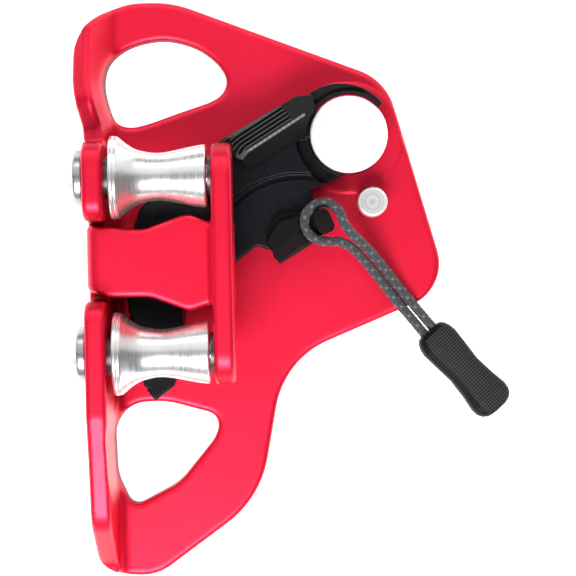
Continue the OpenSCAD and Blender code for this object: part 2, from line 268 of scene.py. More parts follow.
# ---------------------------------------------------------------- mesh helpers
def mesh_object(name, verts, faces, mat, body, replaces=(), painted_light_or_tone=None):
    """Smooth mesh that rides on a body, takes the place of CAD nodes and may carry a value at each point for
    painted light or tone.
    """
    mesh = bpy.data.meshes.new(name)
    mesh.from_pydata([tuple(v) for v in verts], [], [tuple(map(int, f)) for f in faces])
    mesh.materials.append(mat)
    mesh.polygons.foreach_set("use_smooth", [True] * len(mesh.polygons))
    mesh.validate()
    if painted_light_or_tone is not None:
        attribute = mesh.attributes.new("tone_and_painted_light", "FLOAT", "POINT")
        attribute.data.foreach_set("value", np.asarray(painted_light_or_tone, np.float32))
    obj = bpy.data.objects.new(name, mesh)
    scene.collection.objects.link(obj)
    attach(obj, body)
    if replaces:
        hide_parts(*replaces)
    return obj


def grid(low, high, step):
    """Axes of a regular grid of points, in millimetres."""
    return [np.arange(a, b + step, step) for a, b in zip(low, high)]


def surface(field, low, step):
    """Quads of the zero surface of a sampled distance field, in metres."""
    volume = openvdb.FloatGrid()
    volume.background = 3.0
    volume.copyFromArray(np.ascontiguousarray(field, dtype=np.float32))
    points, quads = volume.convertToQuads(isovalue=0.0)
    return (points * step + np.array(low)) * MM, quads[:, ::-1]


def rounded_max(a, b, r):
    """Intersection of two solids with its edge rounded."""
    a, b = a + r, b + r
    return np.minimum(np.maximum(a, b), 0) + np.hypot(np.maximum(a, 0), np.maximum(b, 0)) - r


def soft_min(a, b, k):
    """Union of two solids with a small fillet."""
    h = np.clip(0.5 + 0.5 * (b - a) / k, 0, 1)
    return b + (a - b) * h - k * h * (1 - h)


def rounded_outline(corners, steps=8):
    """Points of an outline whose corners (x, y, radius) are rounded."""
    out = []
    for i, (x, y, r) in enumerate(corners):
        b = np.array([x, y], float)
        if r < 0.01:
            out.append(b)
            continue
        u = np.array(corners[i - 1][:2], float) - b
        w = np.array(corners[(i + 1) % len(corners)][:2], float) - b
        u, w = u / np.linalg.norm(u), w / np.linalg.norm(w)
        half = math.acos(max(-1, min(1, float(u @ w)))) / 2
        mid = (u + w) / np.linalg.norm(u + w)
        centre = b + mid * r / math.sin(half)
        sweep = math.pi / 2 - half
        side = -1 if u[0] * w[1] - u[1] * w[0] > 0 else 1
        base = math.atan2(-mid[1], -mid[0])
        for k in range(-steps, steps + 1):
            t = base + side * sweep * k / steps
            out.append(centre + r * np.array([math.cos(t), math.sin(t)]))
    return np.array(out)


def smooth_loop(points, steps=6):
    """A closed curve through every point."""
    p = np.array(points, float)
    a, c, d = np.roll(p, 1, axis=0), np.roll(p, -1, axis=0), np.roll(p, -2, axis=0)
    t = (np.arange(steps) / steps)[None, :, None]
    a, b, c, d = (q[:, None] for q in (a, p, c, d))
    curve = b + 0.5 * t * (c - a + t * (2 * a - 5 * b + 4 * c - d + t * (3 * (b - c) + d - a)))
    return curve.reshape(-1, 2)


def outline_distance(points, px, py):
    """Signed distance from (px, py) to a closed outline, negative inside."""
    best = np.full(px.shape, 1e9)
    inside = np.zeros(px.shape, bool)
    for (ax, ay), (bx, by) in zip(points, np.roll(points, -1, axis=0)):
        dx, dy = bx - ax, by - ay
        length = dx * dx + dy * dy
        if length < 1e-12:
            continue
        t = np.clip(((px - ax) * dx + (py - ay) * dy) / length, 0, 1)
        best = np.minimum(best, (px - ax - t * dx) ** 2 + (py - ay - t * dy) ** 2)
        if ay != by:
            crosses = (ay > py) != (by > py)
            inside ^= crosses & (px < dx * (py - ay) / dy + ax)
    return np.where(inside, -1, 1) * np.sqrt(best)


def meshgrid(low, high, step):
    """The three coordinates at each point of a grid, ready to broadcast."""
    gx, gy, gz = grid(low, high, step)
    return gx[:, None, None], gy[None, :, None], gz[None, None, :]


def prism(points, x, y, z, low, high):
    """Distances to the side and to the two ends of an outline that is extruded between two heights."""
    xx, yy = np.broadcast_arrays(x[:, :, 0], y[:, :, 0])
    return outline_distance(points, xx, yy)[:, :, None], np.maximum(low - z, z - high)


def ring(x, y, at, inner, outer):
    """Negative between two radii round a point."""
    r = np.hypot(x - at[0], y - at[1])
    return np.maximum(inner - r, r - outer)


def sector(x, y, at, start, end):
    """Negative where the direction from a point lies between two angles in degrees."""
    middle, half = math.radians((start + end) / 2), math.radians((end - start) / 2)
    angle = np.arctan2(y - at[1], x - at[0]) - middle
    angle = (angle + math.pi) % (2 * math.pi) - math.pi
    return (np.abs(angle) - half) * 10


def sculpt(name, field, low, step, mat, body, node, painted_light_or_tone=None):
    """Piece made of a field's zero surface, with painted light as a function of the point."""
    verts, quads = surface(field, low, step)
    painted_light_values = None if painted_light_or_tone is None else painted_light_or_tone(verts / MM)
    mesh_object(name, verts, quads, mat, body, [node], painted_light_values)


def dress(node, mat):
    """Give a kept CAD node its material."""
    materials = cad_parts[node].data.materials
    materials.clear()
    materials.append(mat)


# ---------------------------------------------------------------- folded plate
SHEET, FOLD_R, WALL_X, EDGE_R = 5.0, 8.0, 17.9, 1.2
HALF_SHEET, FOLD_MIDDLE_R = SHEET / 2, FOLD_R - SHEET / 2
PIVOT = (46.1, 31.0)
AXLE_Y, AXLE_Z = 21.15, 24.3
PLATE_BOX = (-24, -79.5, -1.5), (70.5, 68, 35)
# Outlines are lists of corners: x, y, radius.
PLATE = [(-22.2, 66, 17.5), (2.9, 66, 28), (56.1, 45.4, 14), (70.8, -7.1, 11), (29.2, -24.1, 22),
         (22.6, -58.7, 26), (-3.5, -77.4, 12), (-20.5, -77, 12), (-20.5, 20, 0), (-22.2, 30, 6)]
LOWER_EYE = [(-13.6, -34.2, 8), (-0.5, -33.8, 20), (13.2, -37.7, 3.4), (11.6, -43.2, 9), (2.4, -54.2, 14),
             (-9.4, -60.2, 2.8), (-13, -52, 12)]
# The upper eye is a smooth loop through these points.
UPPER_EYE = [(-14.2, 46), (-12.6, 51.2), (-7.5, 54.9), (0.4, 56.4), (7.8, 54.7), (13, 51.3),
             (15.9, 47.2), (15.6, 43.7), (12.6, 41.1), (4.6, 38.4), (-4.2, 35.5), (-8.6, 34.9),
             (-11.8, 36.4), (-13.5, 40.8)]
# Edge of the unrolled wall: y, distance along the sheet from the fold, corner radius.
WALL_EDGE = [(-90, -60, 0), (-90, 7.5, 0), (-74, 8.6, 4), (-62.5, 26.2, 9), (-46, 30.2, 12), (-36, 33.6, 6),
             (-8.4, 33.6, 5), (-8.4, 18.5, 0.8), (10.6, 18.5, 0.8), (10.6, 33.6, 5), (29.4, 33.6, 5),
             (30.2, 14, 1.5), (34.5, 13.6, 3), (40.5, 17.2, 6), (50, 15.2, 6), (58, 13.8, 0), (90, 13.8, 0),
             (90, -60, 0)]
WALL_TABLE, WALL_TABLE_STEP = (-12, 60), 0.25
# How far the sheet is folded up, as y and degrees, and the length of wall over which a change is spread.
FOLD_TURN = [(-90, 90), (29.4, 90), (31, 75), (35, 70), (41, 68), (46, 60), (51, 56), (60, 51), (90, 51)]
FOLD_SPREAD = 2.5
# Raised round seat under the rivet: height, radius, width of its slope.
SEAT_H, SEAT_R, SEAT_SLOPE = 0.25, 14.0, 0.5
BRIDGE = [(-30, 9.9, 0), (-17.9, 9.9, 0), (-4, 8.6, 8), (6.6, 12.4, 5), (12.4, 10, 3), (19, 10, 0),
          (19, -9.6, 0), (12, -9.6, 3), (6.6, -11.3, 4), (-2.6, -7.7, 6), (-12.6, -7.6, 5), (-18, -5.9, 1),
          (-30, -5.6, 0)]
BRIDGE_TOP, OUTER_BEND, INNER_BEND = 24.5, 3.5, 1.5
BRIDGE_LOW, BRIDGE_HIGH = 12, 30
# The flange is a bar with round ends. The bridge bends up into it with its middle on an arc (x, z, radius).
FLANGE_X, FLANGE_END, FLANGE_R = 15.1, 21.0, 8.0
FLANGE_BEND = (11.1, 26.0, 4.0)
FLANGE_FILLET, WALL_FILLET = 1.6, 0.3


def sample(field, low, step, points):
    """Values of a gridded field at points, by linear interpolation."""
    at = (points - np.array(low)) / step
    lo = np.clip(at.astype(int), 0, np.array(field.shape) - 2)
    part = at - lo
    total = 0
    for corner in np.ndindex(2, 2, 2):
        total = total + np.prod(np.where(corner, part, 1 - part), axis=1) * field[tuple((lo + corner).T)]
    return total


def fold_turn(y, step):
    """Fold angle in radians at each y, with its changes spread along the wall."""
    turn = np.radians(np.interp(y, *zip(*FOLD_TURN)))
    kernel = np.hanning(int(FOLD_SPREAD / step) | 1)
    padded = np.pad(turn, len(kernel) // 2, mode="edge")
    return np.convolve(padded, kernel / kernel.sum(), "valid")


def folded_sheet(x, z, turn):
    """Distance to the faces of the endless folded sheet, and the length along it from the fold's start."""
    cx, cz = FOLD_R - WALL_X, FOLD_R
    angle = np.arctan2(np.maximum(cx - x, 0), cz - z)
    radius = np.hypot(x - cx, z - cz)
    wx, wz = cx - FOLD_MIDDLE_R * np.sin(turn), cz - FOLD_MIDDLE_R * np.cos(turn)
    along = -(x - wx) * np.cos(turn) + (z - wz) * np.sin(turn)
    across = (x - wx) * np.sin(turn) + (z - wz) * np.cos(turn)
    in_fold = angle < turn
    normal = np.where(x > cx, z - HALF_SHEET, np.where(in_fold, FOLD_MIDDLE_R - radius, across))
    rolled = np.where(in_fold, FOLD_MIDDLE_R * angle, FOLD_MIDDLE_R * turn + along)
    return np.abs(normal) - HALF_SHEET, np.where(x > cx, cx - x, rolled)


def wall_edge(y, length):
    """Distance to the unrolled wall's edge, read from a table over y and length."""
    us = np.arange(*WALL_TABLE, WALL_TABLE_STEP)
    yu, uu = np.meshgrid(y, us, indexing="ij")
    table = outline_distance(rounded_outline(WALL_EDGE), yu, uu)
    at = np.clip((length - us[0]) / WALL_TABLE_STEP, 0, len(us) - 1.001)
    lo = at.astype(int)
    rows = np.broadcast_to(np.arange(len(y))[None, :, None], lo.shape)
    part = at - lo
    return table[rows, lo] * (1 - part) + table[rows, lo + 1] * part


def plan_distance(x, y):
    """Distance to the flat plate's outline with both eyes cut out."""
    xx, yy = np.broadcast_arrays(x[:, :, 0], y[:, :, 0])
    plan = outline_distance(rounded_outline(PLATE), xx, yy)
    for eye in (smooth_loop(UPPER_EYE), rounded_outline(LOWER_EYE)):
        plan = np.maximum(plan, -outline_distance(eye, xx, yy))
    return plan[:, :, None]


def bridge_band(x, y, z):
    """Strip up the wall, over to the right and up into the flange, with the distance to its faces."""
    outside = rounded_max(-WALL_X - x, z - BRIDGE_TOP, OUTER_BEND)
    inside = rounded_max(SHEET - WALL_X - x, z - BRIDGE_TOP + SHEET, INNER_BEND)
    over = np.abs(z - BRIDGE_TOP + HALF_SHEET) - HALF_SHEET
    bx, bz, r = FLANGE_BEND
    bend = np.abs(np.hypot(x - bx, z - bz) - r)
    up = np.where(z > bz, np.abs(x - FLANGE_X), bend) - HALF_SHEET
    faces = np.where(x > bx, up, np.where(x < 0, np.maximum(outside, -inside), over)) + 0 * y
    plan, caps = prism(rounded_outline(BRIDGE), x, y, z, BRIDGE_LOW, BRIDGE_HIGH)
    return rounded_max(faces, np.maximum(plan, caps), EDGE_R), faces


def flange_bar(x, y, z):
    """Upright bar with round ends that holds both axles, with the distance to its faces."""
    faces = np.abs(x - FLANGE_X) - HALF_SHEET + 0 * (y + z)
    outline = np.hypot(np.maximum(np.abs(y) - FLANGE_END, 0), z - AXLE_Z) - FLANGE_R
    return rounded_max(faces, outline + 0 * x, EDGE_R), faces


def folded_plate(step=0.5):
    """Plate, wall, bridge and flange as one sheet, with painted shade on its upright cut edges."""
    low, high = PLATE_BOX
    x, y, z = meshgrid(low, high, step)
    sheet, length = folded_sheet(x, z, fold_turn(y.ravel(), step)[None, :, None])
    edge = np.maximum(plan_distance(x, y), wall_edge(y.ravel(), length))
    to_pivot = np.hypot(x - PIVOT[0], y - PIVOT[1])
    seat = SEAT_H * np.clip((SEAT_R - to_pivot) / SEAT_SLOPE, 0, 1) * (z > HALF_SHEET)
    field = rounded_max(sheet - seat, edge, EDGE_R)
    band, band_faces = bridge_band(x, y, z)
    flange, flange_faces = flange_bar(x, y, z)
    faces = np.where(band < field, band_faces, sheet)
    faces = np.where(flange < np.minimum(field, band), flange_faces, faces)
    field = soft_min(field, soft_min(band, flange, FLANGE_FILLET), WALL_FILLET)
    facing = np.gradient(field, step, axis=2)

    # Painted shade for the upright faces of the sheet's cut edges.
    def cut_edge_shade(points):
        below = -sample(faces, low, step, points)
        upright = 1.3 - 1.3 * np.abs(sample(facing, low, step, points))
        return np.clip((below - 0.1) / 0.9, 0, 1) * np.clip(upright, 0, 1)

    sculpt("folded_plate", field, low, step, RED, "body", "frame", cut_edge_shade)


folded_plate()

# ---------------------------------------------------------------- turned pieces
def lathe(name, profile, at, axis, mat, body, node, dark_marks_and_shade=None, turns=128):
    """Surface of revolution from (distance along the axis, radius) pairs, with one darkening value a ring,
    for dark marks and painted shade.
    """
    rings, faces = [], []
    for along, r in profile:
        for k in range(turns):
            t = 2 * math.pi * k / turns
            c, s = max(r, 0.0001) * math.cos(t), max(r, 0.0001) * math.sin(t)
            p = (along, c, s) if axis == "x" else (c, s, along)
            rings.append([(a + b) * MM for a, b in zip(p, at)])
    for j in range(len(profile) - 1):
        for k in range(turns):
            n = (k + 1) % turns
            faces.append((j * turns + k, (j + 1) * turns + k, (j + 1) * turns + n, j * turns + n))
    faces.append(list(range(turns)))
    faces.append([(len(profile) - 1) * turns + k for k in reversed(range(turns))])
    dark_marks_and_shade = np.zeros(len(profile)) if dark_marks_and_shade is None else np.array([dark_marks_and_shade(along, r) for along, r in profile])
    obj = mesh_object(name, rings, faces, mat, body, [node], np.repeat(dark_marks_and_shade, turns))
    obj.data.polygons[-1].use_smooth = obj.data.polygons[-2].use_smooth = False
    return obj


def spline(points, xs):
    """Smooth curve y(x) through a few points."""
    px, py = np.array(points, float).T
    slope = np.gradient(py, px)
    i = np.clip(np.searchsorted(px, xs) - 1, 0, len(px) - 2)
    h = px[i + 1] - px[i]
    t = (xs - px[i]) / h
    return ((2 * t**3 - 3 * t**2 + 1) * py[i] + (t**3 - 2 * t**2 + t) * h * slope[i]
            + (-2 * t**3 + 3 * t**2) * py[i + 1] + (t**3 - t**2) * h * slope[i + 1])


ROLLER_WAIST = [(-9.3, 9.5), (-7.6, 8.1), (-5.9, 6.98), (-3, 6.08), (-0.2, 5.75), (2.7, 6.05), (5.5, 6.6),
                (8.4, 7.2), (10.9, 7.58)]


def roller_profile():
    """Waisted roller with a grooved rim at its left end, as (x, radius)."""
    rim = [(-11.5, 3.4), (-11.5, 4.6), (-11.35, 4.7), (-11.35, 9.3), (-11.5, 9.45), (-11.45, 9.8),
           (-11.25, 9.97), (-10.5, 10), (-10.38, 9.85), (-10.3, 9.72), (-10.18, 9.84), (-10.0, 9.9),
           (-9.6, 9.75)]
    xs = np.linspace(-9.3, 10.9, 40)
    waist = list(zip(xs, spline(ROLLER_WAIST, xs)))
    return rim + waist + [(11.15, 7.58), (11.4, 7.42), (11.5, 7.15), (11.5, 3.4)]


for side, name in ((1, "upper"), (-1, "lower")):
    lathe(f"{name}_guide_roller", roller_profile(), (0, side * AXLE_Y, AXLE_Z), "x", ROLLER,
          f"{name}_roller", f"{name}_roller")

# Profiles as (z, radius). The rivet is painted dark, as shade on the side of its head, up to RIVET_TOP_Z,
# where the polished top of its head begins.
RIVET_TOP_Z = 16.95
RIVET = [(0, 5.3), (0.15, 5.5), (1.15, 5.5), (1.3, 4), (15.1, 4), (15.12, 9.4), (15.2, 9.45), (16.9, 9.46),
         (16.97, 9.46), (17.35, 9.38), (17.6, 9.15), (17.68, 8.85), (17.7, 8.4), (17.66, 0.4)]
STOP_AT = (51.8, 14.7)
STOP_PIN = [(0.05, 2.4), (0.2, 2.5), (5.0, 2.5), (5.05, 3.55), (5.2, 3.7), (10.9, 3.7), (11.25, 3.6),
            (11.45, 3.35), (11.5, 3.05), (11.42, 2.8), (11.47, 2.5), (11.4, 2.1), (11.46, 1.7),
            (11.36, 1.2), (11.42, 0.8), (11.34, 0.3)]


# Painted shade: everything below the polished top of the rivet's head is darkened.
def rivet_side_shade(z, r):
    return float(z < RIVET_TOP_Z)


def peened_end_rings(z, r):
    """Faint dark rings on the pin's peened end."""
    return 0.12 + 0.3 * math.sin(r * 5) ** 2 if r < 2.9 and z > 11 else 0.0


lathe("pivot_rivet_turned", RIVET, (*PIVOT, 0), "z", POLISHED, "body", "pivot_rivet",
      rivet_side_shade)
lathe("stop_pin_peened", STOP_PIN, (*STOP_AT, 0), "z", STEEL, "body", "stop_pin", peened_end_rings)

# ---------------------------------------------------------------- axle screws
SCREW_R, SCREW_RIM, SCREW_TIP, SCREW_SLOPE = 6.8, 0.5, 4.1, 0.34
SLOT_W, SLOT_FLOOR, SLOT_TURN = 2.2, 2.2, 14
SHANK_R, SHANK_END = 2.95, 17.5
SCREW_GAP = 0.05


def axle_screw(name, side, step=0.22):
    """Low cone head with a rim and a slot, on a shank that ends flush with the flange."""
    low, high = (-22.6, -7.4, -7.4), (18, 7.4, 7.4)
    x, y, z = meshgrid(low, high, step)
    r = np.hypot(y, z)
    out = -x - WALL_X - SCREW_GAP
    cone = (out - SCREW_TIP + SCREW_SLOPE * np.maximum(r - 0.9, 0)) / math.hypot(1, SCREW_SLOPE)
    head = rounded_max(rounded_max(cone, r - SCREW_R, SCREW_RIM), -out, 0.3)
    turn = math.radians(SLOT_TURN)
    slot = np.maximum(np.abs(y * math.cos(turn) + z * math.sin(turn)) - SLOT_W / 2, SLOT_FLOOR - out)
    head = rounded_max(head, -slot, 0.2)
    shank = rounded_max(r - SHANK_R, np.maximum(x - SHANK_END, -WALL_X - x - 0.5), 0.4)
    at_axle = (low[0], low[1] + side * AXLE_Y, low[2] + AXLE_Z)
    sculpt(name, np.minimum(head, shank), at_axle, step, SCREW, "body", name.replace("_screw", ""))


axle_screw("upper_axle_screw", 1)
axle_screw("lower_axle_screw", -1)

# ---------------------------------------------------------------- cam
CAM_Z, CAM_TOP, HUB_R = 5.9, 14.9, 9.4
CAM = [(22.5, 29.6, 4), (8, 24, 8), (-5.2, 14.6, 6), (-10.4, 0, 14), (-8.6, -14, 30), (-5.5, -30, 1.2),
       (-2.7, -33.3, 0.6), (1.9, -29.8, 1.5), (4.8, -20, 8), (4.6, -8, 8), (15, -1.6, 8), (23, 4.4, 2),
       (28.5, 2.4, 2), (34, 6.4, 3), (38.5, 15.5, 4)]
TOOTH_PITCH, TOOTH_DEPTH = 3.0, 0.85
GROOVE_AT, GROOVE_DEPTH, NECK_DEPTH = (33.3, -1.9), 1.3, 2.6
POCKET_TOP, CAM_BORE_R = 11.3, 5.25
CATCH_AT, CATCH_PIN_R = (30.0, 7.5), 1.5


def arc(at, r, start, end, n=36):
    """Points of an arc between two angles in degrees."""
    t = np.radians(np.linspace(start, end, n))
    return np.stack([at[0] + r * np.cos(t), at[1] + r * np.sin(t)], axis=1)


def saw(t):
    """Zigzag from 0 to 1 and back over each whole number."""
    return 2 * np.abs(t - np.round(t))


def toothed_cam(step=0.3):
    """Cam plate with teeth towards the wall, two curved grooves on top and a pocket for its spring."""
    low, high = (-12.5, -35, 5.2), (57, 42, 15.4)
    x, y, z = meshgrid(low, high, step)
    outline = np.concatenate([arc(PIVOT, HUB_R, -95, 118), rounded_outline(CAM)])
    plan, caps = prism(outline, x, y, z, CAM_Z, CAM_TOP)
    gripping = np.clip((-2.5 - x) / 1.5, 0, 1) * np.clip((3 - y) / 2, 0, 1)
    slanted = saw(y / TOOTH_PITCH + z / (3 * TOOTH_PITCH))
    teeth = TOOTH_DEPTH * gripping * np.maximum(slanted, saw(z / TOOTH_PITCH))
    field = rounded_max(plan + teeth, caps + 0 * plan, 0.55)
    long_groove = np.maximum(ring(x, y, GROOVE_AT, 22.2, 23.8), 4.3 - y)
    neck = np.maximum(ring(x, y, PIVOT, 9.7, 12.9), sector(x, y, PIVOT, 183, 262))
    for hollow in (np.maximum(long_groove, CAM_TOP - GROOVE_DEPTH - z),
                   np.maximum(neck, CAM_TOP - NECK_DEPTH - z),
                   np.maximum(ring(x, y, PIVOT, 6.15, 8.55), z - POCKET_TOP),
                   ring(x, y, PIVOT, -1, CAM_BORE_R) + 0 * z,
                   ring(x, y, CATCH_AT, -1, CATCH_PIN_R) + 0 * z):
        field = rounded_max(field, -hollow, 0.2)
    sculpt("toothed_cam", field, low, step, CAM_BLACK, "cam", "cam")


toothed_cam()

# ---------------------------------------------------------------- thumb lever
LEVER_AT, LEVER_TURN, LEVER_Z = (18.9, 25.5), 31.8, 20.85
LEVER = [(14, 29.9, 0.5), (25.3, 36.2, 0), (33.4, 40.6, 1.5), (37.6, 40.8, 1), (37.9, 37.6, 0.6),
         (35.4, 30.2, 0.8), (31.3, 28.6, 0), (29.4, 27.5, 0), (25.2, 24.9, 0), (21.6, 22.9, 0.5),
         (20, 25, 0.5), (17.8, 26, 0.5)]
RIB_PITCH, RIB_DEPTH, LEVER_SLOPE, LEVER_FRONT = 1.02, 0.7, 0.8, 1.3
RIBS_TURN_AT, RIBS_END, RIBS_FROM, RIBS_TO = 3.5, 16.3, 0.5, 5.4
# Further than this from the pivot the lever swings under the flange as the cam opens, so it stays low there.
UNDER_FLANGE, FLANGE_GAP = 28.2, 0.3
STRAP_SHIFT, STRAP_R, STRAP_BORE_R, STRAP_TOP = (-2, -0.6), 13.05, 9.95, 17.2


def lever_axes(x, y):
    """Distances along the lever and across it, from its front edge."""
    t = math.radians(LEVER_TURN)
    dx, dy = x - LEVER_AT[0], y - LEVER_AT[1]
    return dx * math.cos(t) + dy * math.sin(t), -dx * math.sin(t) + dy * math.cos(t)


def across_ribs(u, v):
    """Distance across the ribs, which turn round the lever's left end."""
    return np.where(u > RIBS_TURN_AT, v, np.hypot(0.6 * (u - RIBS_TURN_AT), np.maximum(v, 0)))


def lever_edge_highlight(points):
    """Painted highlight along the front edge, in patches, and on the tops of the ribs."""
    u, v = lever_axes(points[:, 0], points[:, 1])
    below = points[:, 2] - LEVER_Z
    edge = np.exp(-((below + 0.15) / 0.28) ** 2) * np.exp(-(v / 0.35) ** 2) * (u < 19.5)
    patches = 0.75 + 0.35 * np.sin(u * 3.1) * np.sin(u * 7.7 + 1)
    across = across_ribs(u, v)
    high = np.clip((below + LEVER_SLOPE * across + 0.12) / 0.1, 0, 1)
    return np.clip(edge * patches + 0.28 * high * (across > 0.6) * (across < 6.2) * (u < 16), 0, 1)


def thumb_lever(step=0.16):
    """Ribbed slope rising to a front edge with a painted highlight, a face falling to the foot, and a strap
    round the rivet.
    """
    low, high = (13, 21, 14.4), (58.5, 46, 21.6)
    x, y, z = meshgrid(low, high, step)
    u, v = lever_axes(x, y)
    plan, caps = prism(rounded_outline(LEVER), x, y, z, CAM_TOP, LEVER_Z)
    r = np.hypot(x - PIVOT[0], y - PIVOT[1])
    plan = np.maximum(plan, 10.3 - r)
    reach = np.sqrt(np.maximum(r**2 - UNDER_FLANGE**2, 0))
    beside = np.clip(PIVOT[1] - FLANGE_END - reach, 0, FLANGE_R)
    roof = AXLE_Z - FLANGE_GAP - np.sqrt(FLANGE_R**2 - beside**2)
    across = across_ribs(u, v)
    ribbed = np.clip((RIBS_TO - v) / 0.3, 0, 1) * np.clip((v - RIBS_FROM) / 0.3, 0, 1)
    ribbed = ribbed * np.clip((RIBS_END - u) / 0.6, 0, 1)
    groove = RIB_DEPTH * ribbed * np.clip(2.2 * saw(across / RIB_PITCH) - 0.5, 0, 1)
    slope = (z - LEVER_Z + LEVER_SLOPE * across + groove) / math.hypot(1, LEVER_SLOPE)
    slope = np.maximum(slope, np.where(r > UNDER_FLANGE, z - roof, -1))
    front = (z - LEVER_Z - LEVER_FRONT * v) / math.hypot(1, LEVER_FRONT)
    body = rounded_max(rounded_max(slope, front, 0.18), np.maximum(plan, caps), 0.25)
    outer = np.hypot(x - PIVOT[0] - STRAP_SHIFT[0], y - PIVOT[1] - STRAP_SHIFT[1]) - STRAP_R
    strap = np.maximum(np.maximum(outer, STRAP_BORE_R - r), sector(x, y, PIVOT, 41, 146))
    strap = rounded_max(strap, np.maximum(CAM_TOP + 0.15 - z, z - STRAP_TOP) + 0 * r, 0.3)
    groove = np.maximum(ring(x, y, PIVOT, 10.75, 11.6), sector(x, y, PIVOT, 62, 137))
    field = np.maximum(soft_min(body, strap, 0.4), -np.maximum(groove, STRAP_TOP - 1 - z))
    sculpt("thumb_lever_ribbed", field, low, step, PLASTIC, "cam", "thumb_lever",
           lever_edge_highlight)


thumb_lever()

# ---------------------------------------------------------------- safety catch
CATCH = [(25.6, 6.5, 1.5), (27.6, 0.4, 1), (30.4, 1.6, 1), (40.6, 7.4, 3), (42.6, 11, 3), (38.6, 13.2, 3),
         (33.4, 12.4, 3), (27.4, 11.4, 3)]
BAR = [(25.2, 4.9, 0.8), (27.0, 2.6, 0.3), (28.6, -0.4, 0.3), (37.2, 4.8, 0.6), (34.8, 11.6, 1),
       (28, 9.6, 1)]
BAR_AT, BAR_TURN, BAR_TOP = (27.1, 2.6), 34.4, 21.1
POST_AT, POST_TURN, POST_TOP = (39.4, 9.8), 114, 21.75
LOOP_WAY_R, LOOP_WAY_LOW = 6.05, 17.4


def behind_front(x, y):
    """Distance behind the top edge of the bar's front."""
    t = math.radians(BAR_TURN)
    return -(x - BAR_AT[0]) * math.sin(t) + (y - BAR_AT[1]) * math.cos(t)


def catch_front_sheen(points):
    """Painted sheen on the bar's sloping front face."""
    in_front = np.clip(-behind_front(points[:, 0], points[:, 1]) / 0.15, 0, 1)
    return in_front * np.clip((points[:, 2] - CAM_TOP - 2.7) / 0.1, 0, 1)


def safety_catch(step=0.15):
    """Bar with a sloping front, painted brighter as a sheen, over the cam, and a flat post for the cord's
    loop.
    """
    low, high = (23.5, -2.5, 14.6), (45, 15, 22.4)
    x, y, z = meshgrid(low, high, step)
    plan, caps = prism(rounded_outline(CATCH), x, y, z, CAM_TOP + 0.2, CAM_TOP + 2.6)
    foot = rounded_max(plan + 0 * z, caps + 0 * plan, 0.3)
    n = behind_front(x, y)
    plan, caps = prism(rounded_outline(BAR), x, y, z, CAM_TOP + 1, 30)
    roof = rounded_max((z - BAR_TOP - 1.25 * n) / 1.6, (z - BAR_TOP + 0.3 * n) / 1.04, 0.2)
    bar = rounded_max(np.maximum(roof, caps), plan + 0 * z, 0.3)
    dx, dy = x - POST_AT[0], y - POST_AT[1]
    bar = np.maximum(bar, -np.maximum(np.hypot(dx, dy) - LOOP_WAY_R, LOOP_WAY_LOW - z))
    t = math.radians(POST_TURN)
    u, v = dx * math.cos(t) + dy * math.sin(t), -dx * math.sin(t) + dy * math.cos(t)
    swell = 0.25 * np.clip((z - 20.6) / 0.6, 0, 1)
    post = np.hypot(np.maximum(np.abs(u) - 1.5, 0), np.maximum(np.abs(v) - 0.5, 0)) - 1.35 - swell
    post = rounded_max(post, np.maximum(16 - z, z - POST_TOP) + 0 * post, 0.4)
    field = soft_min(np.minimum(foot, bar), post, 0.3)
    for hollow in (np.maximum(ring(x, y, CATCH_AT, -1, CATCH_PIN_R + 0.03), z - 18.8),
                   np.maximum(ring(x, y, CATCH_AT, -1, 2.75), z - 16.8)):
        field = np.maximum(field, -hollow)
    sculpt("safety_catch_bar", field, low, step, CATCH_BLACK, "catch", "safety_catch",
           catch_front_sheen)


safety_catch()

# ---------------------------------------------------------------- pull cord
CORD_D = 2.4
# The same route as in part.scad: from the grip, round the catch's post and back to the grip.
CORD_ROUTE = [(67, -17.5, 5.9), (64, -13.9, 6.3), (60.3, -9.4, 6.9), (56.6, -4.7, 8.2), (53, 0, 10.6),
              (49.4, 3.9, 13.8), (46.2, 6.9, 16.8), (44.4, 9.4, 18.5), (43.3, 12.1, 19), (40.6, 14.3, 19),
              (37.2, 13.8, 19), (35, 11.2, 19), (35.1, 8, 19), (37.2, 5.7, 19), (40.2, 4.9, 18.7),
              (43.3, 4.8, 17.3), (46.6, 3.1, 14.4), (50.3, -0.8, 11), (53.8, -5.2, 8.5), (57.2, -9.7, 7),
              (61, -14.3, 6.3), (65, -19.3, 5.9)]
STRANDS, STRAND_PITCH, BRAID_DEPTH = 12, 1.05, 0.16


def through(points, steps):
    """Catmull-Rom curve through the route."""
    p = np.array(points, float)
    out = []
    for i in range(len(p) - 1):
        a, b, c, d = p[max(i - 1, 0)], p[i], p[i + 1], p[min(i + 2, len(p) - 1)]
        for k in range(steps):
            s = k / steps
            out.append((2 * b + (c - a) * s + (2 * a - 5 * b + 4 * c - d) * s**2
                        + (3 * b - a - 3 * c + d) * s**3) / 2)
    return np.array(out + [p[-1]])


def evenly(path, gap):
    """The same path with points an equal distance apart, and the distance along it."""
    along = np.concatenate([[0], np.cumsum(np.linalg.norm(np.diff(path, axis=0), axis=1))])
    s = np.linspace(0, along[-1], int(along[-1] / gap))
    return np.stack([np.interp(s, along, path[:, k]) for k in range(3)], axis=1), s


def cord_material():
    """Matt yarn whose colour follows the braid: its yarns' own tones, and painted shade where the braid
    dips.
    """
    mat, tree, shader = material("cord_braid", (0.2, 0.2, 0.21), 0.0, 0.75)
    attribute = tree.nodes.new("ShaderNodeAttribute")
    attribute.attribute_name = "tone_and_painted_light"
    yarn = ramp(tree, attribute.outputs["Fac"], [(0.0, (0.012, 0.012, 0.014)), (0.45, (0.05, 0.052, 0.058)),
                                                 (0.75, (0.09, 0.093, 0.1)), (1.0, (0.22, 0.22, 0.235))])
    tree.links.new(yarn, shader.inputs["Base Color"])
    shader.inputs["Sheen Weight"].default_value = 0.2
    bump(tree, shader, add_noise(tree, 9000, 2), 0.4, 0.00004)
    return mat


